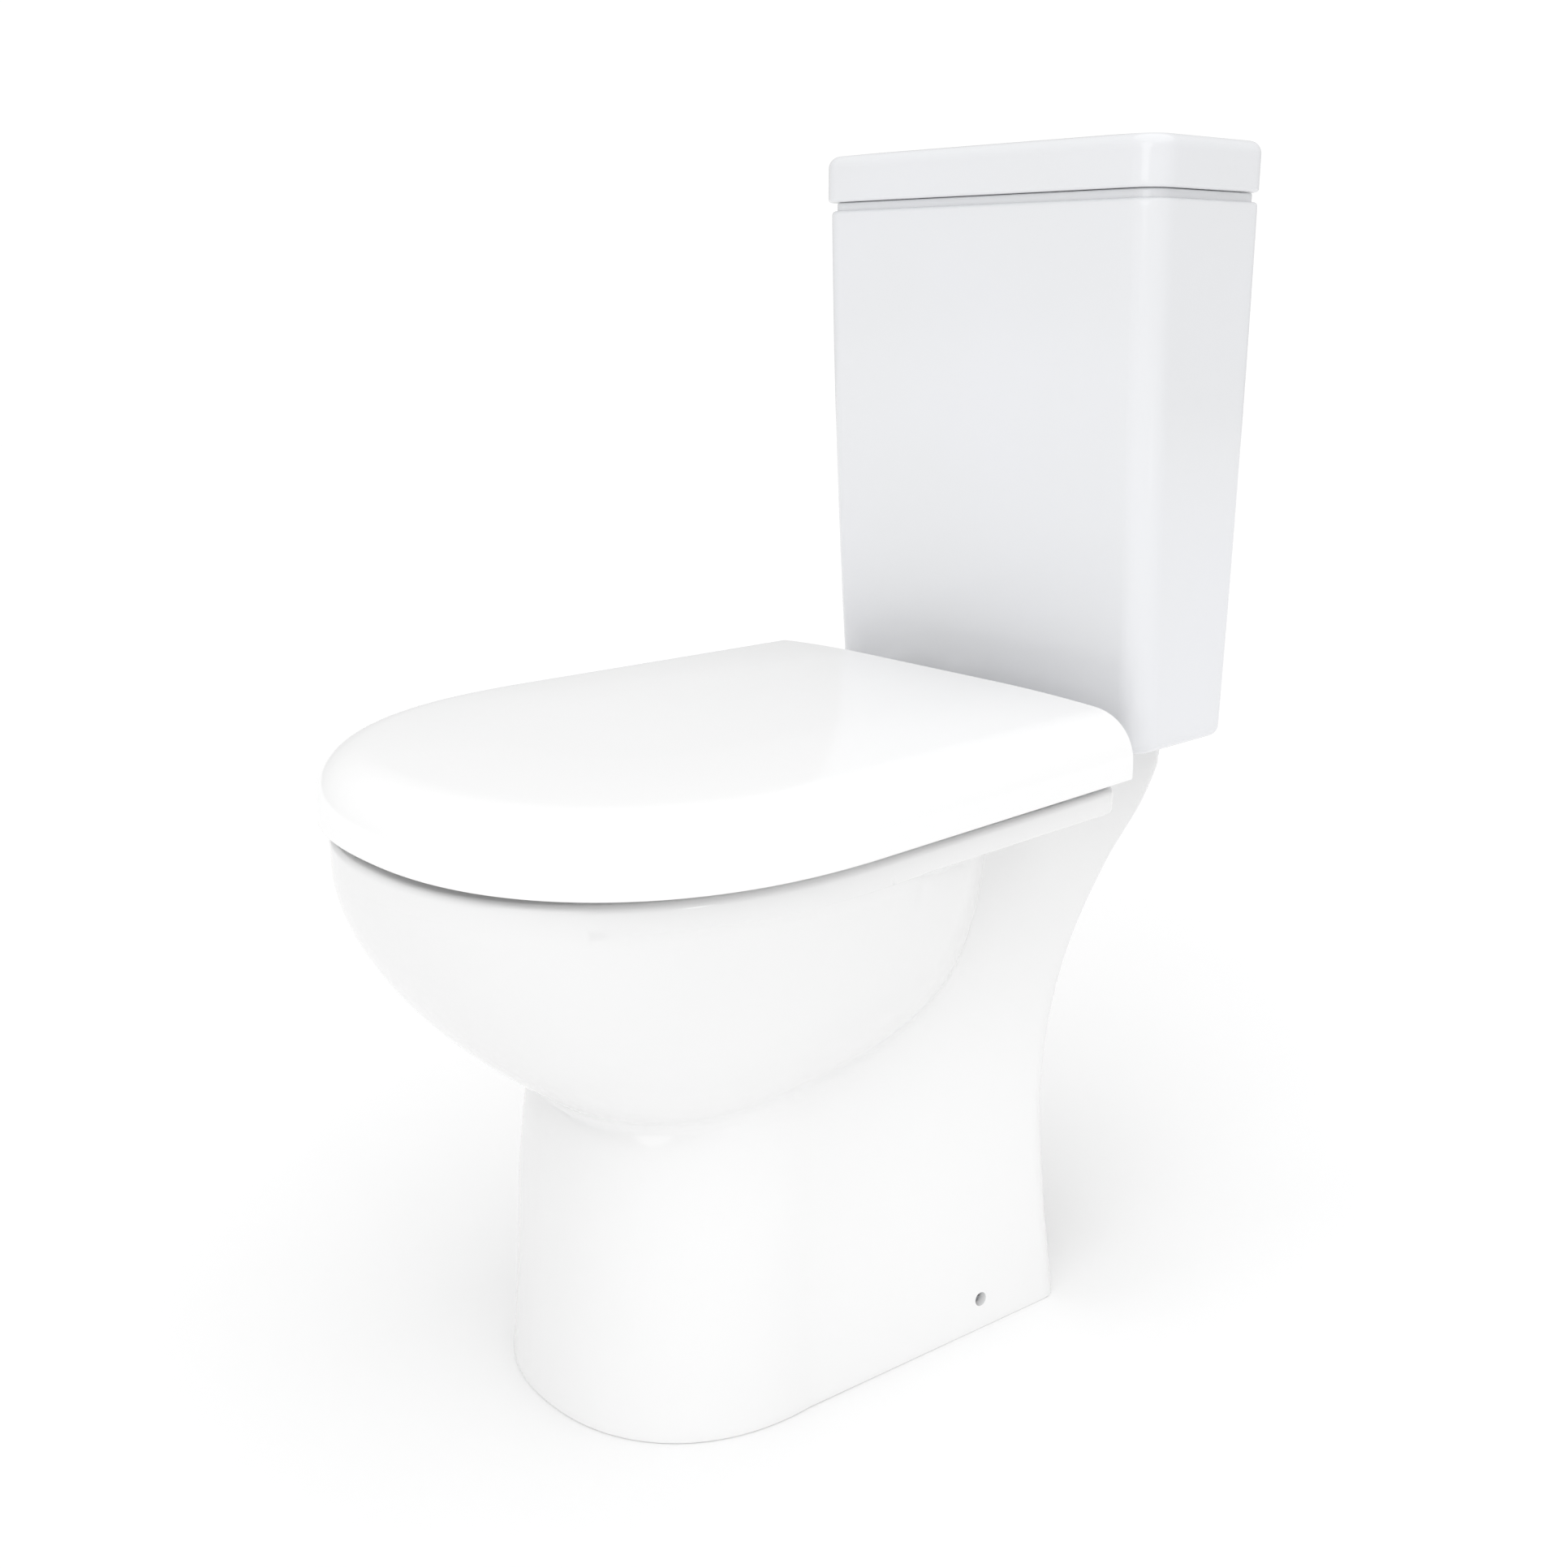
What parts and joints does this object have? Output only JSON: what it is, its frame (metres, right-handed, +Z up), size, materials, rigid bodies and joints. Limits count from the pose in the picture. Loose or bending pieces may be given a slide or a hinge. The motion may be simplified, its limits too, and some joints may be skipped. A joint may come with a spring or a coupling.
{
  "type": "close coupled toilet",
  "caption": "Floor-standing china pan with a close coupled cistern, dual push button flush, hinged seat and domed D-shaped lid, and horizontal outlet.",
  "frame": {"origin": "on the floor, at the middle of the footprint between the front of the seat lid and the back of the cistern", "axes": "+Z up, +Y towards the wall behind the cistern, -Y to the front of the bowl, +X to the right of a person who faces the wall"},
  "size_m": [0.38, 0.605, 0.8025],
  "materials": {
    "pan_china": "glossy white glaze",
    "cistern_china": "glossy white glaze, slightly cooler",
    "seat_gloss": "moulded gloss white",
    "chrome_plate": "polished",
    "steel": "drawn and zinc plated",
    "valve_plastic": "moulded, pale grey",
    "accent_plastic": "moulded, blue",
    "rubber": "black, matte",
    "buffer_plastic": "soft white bumper"
  },
  "bodies": {
    "root": {"pan": "pan_china", "cistern_tank": "cistern_china", "hinge_post_left": "chrome_plate", "hinge_post_right": "chrome_plate", "side_screw_left": "steel", "side_screw_right": "steel", "coupling_bolt_left": "steel", "coupling_bolt_right": "steel", "clamp_washer_left": "steel", "clamp_washer_right": "steel", "lever_pin": "steel", "hinge_pin_left": "steel", "hinge_pin_right": "steel", "floor_bracket_left": "valve_plastic", "floor_bracket_right": "valve_plastic", "coupling_wing_nut_left": "valve_plastic", "coupling_wing_nut_right": "valve_plastic", "flush_valve_tower": "valve_plastic", "valve_back_nut": "valve_plastic", "fill_valve_body": "valve_plastic", "fill_valve_back_nut": "valve_plastic", "hinge_wing_nut_left": "valve_plastic", "hinge_wing_nut_right": "valve_plastic", "coupling_gasket": "rubber", "bolt_cone_washer_left": "rubber", "bolt_cone_washer_right": "rubber", "valve_base_washer": "rubber", "fill_valve_washer": "rubber", "hinge_pad_left": "rubber", "hinge_pad_right": "rubber", "hinge_washer_left": "rubber", "hinge_washer_right": "rubber"},
    "seat": {"seat_ring": "seat_gloss", "seat_buffer_1": "buffer_plastic", "seat_buffer_2": "buffer_plastic", "seat_buffer_3": "buffer_plastic", "seat_buffer_4": "buffer_plastic"},
    "seat_lid_body": {"seat_lid": "seat_gloss", "lid_buffer_left": "buffer_plastic", "lid_buffer_right": "buffer_plastic"},
    "cistern_cover": {"cistern_lid": "cistern_china", "button_bezel": "chrome_plate", "button_nut": "valve_plastic"},
    "full_button": {"full_flush_button": "chrome_plate", "full_flush_rod": "accent_plastic"},
    "half_button": {"half_flush_button": "chrome_plate", "half_flush_rod": "accent_plastic"},
    "valve_lift": {"overflow_tube": "accent_plastic", "flush_seal": "rubber"},
    "float": {"float_cup": "accent_plastic", "float_rod": "steel"},
    "lever": {"float_lever": "valve_plastic"}
  },
  "joints": [
    {"name": "seat_hinge", "type": "hinge", "parent": "root", "child": "seat", "pos_m": [0, 0.1305, 0.416], "axis": [-1, 0, 0], "range_deg": [0, 93]},
    {"name": "lid_hinge", "type": "hinge", "parent": "seat", "child": "seat_lid_body", "pos_m": [0, 0.1305, 0.416], "axis": [1, 0, 0], "range_deg": [-93, 0]},
    {"name": "cistern_lid_lift", "type": "slide", "parent": "root", "child": "cistern_cover", "axis": [0, 0, 1], "range_m": [0, 0.06]},
    {"name": "full_flush_press", "type": "slide", "parent": "cistern_cover", "child": "full_button", "axis": [0, 0, -1], "range_m": [0, 0.01], "stiffness_N_per_m": 400, "springref_m": -0.006},
    {"name": "half_flush_press", "type": "slide", "parent": "cistern_cover", "child": "half_button", "axis": [0, 0, -1], "range_m": [0, 0.01], "stiffness_N_per_m": 400, "springref_m": -0.006},
    {"name": "valve_lift_slide", "type": "slide", "parent": "root", "child": "valve_lift", "axis": [0, 0, 1], "range_m": [0, 0.015]},
    {"name": "float_slide", "type": "slide", "parent": "root", "child": "float", "axis": [0, 0, 1], "range_m": [0, 0.012]},
    {"name": "float_lever_turn", "type": "hinge", "parent": "root", "child": "lever", "pos_m": [-0.118, 0.2445, 0.709], "axis": [-1, 0, 0], "range_deg": [0, 24]}
  ],
  "couplings": [
    {"joint": "valve_lift_slide", "follows": "full_flush_press", "ratio": 1.5},
    {"joint": "float_lever_turn", "follows": "float_slide", "rad_per_m": 33.333}
  ]
}
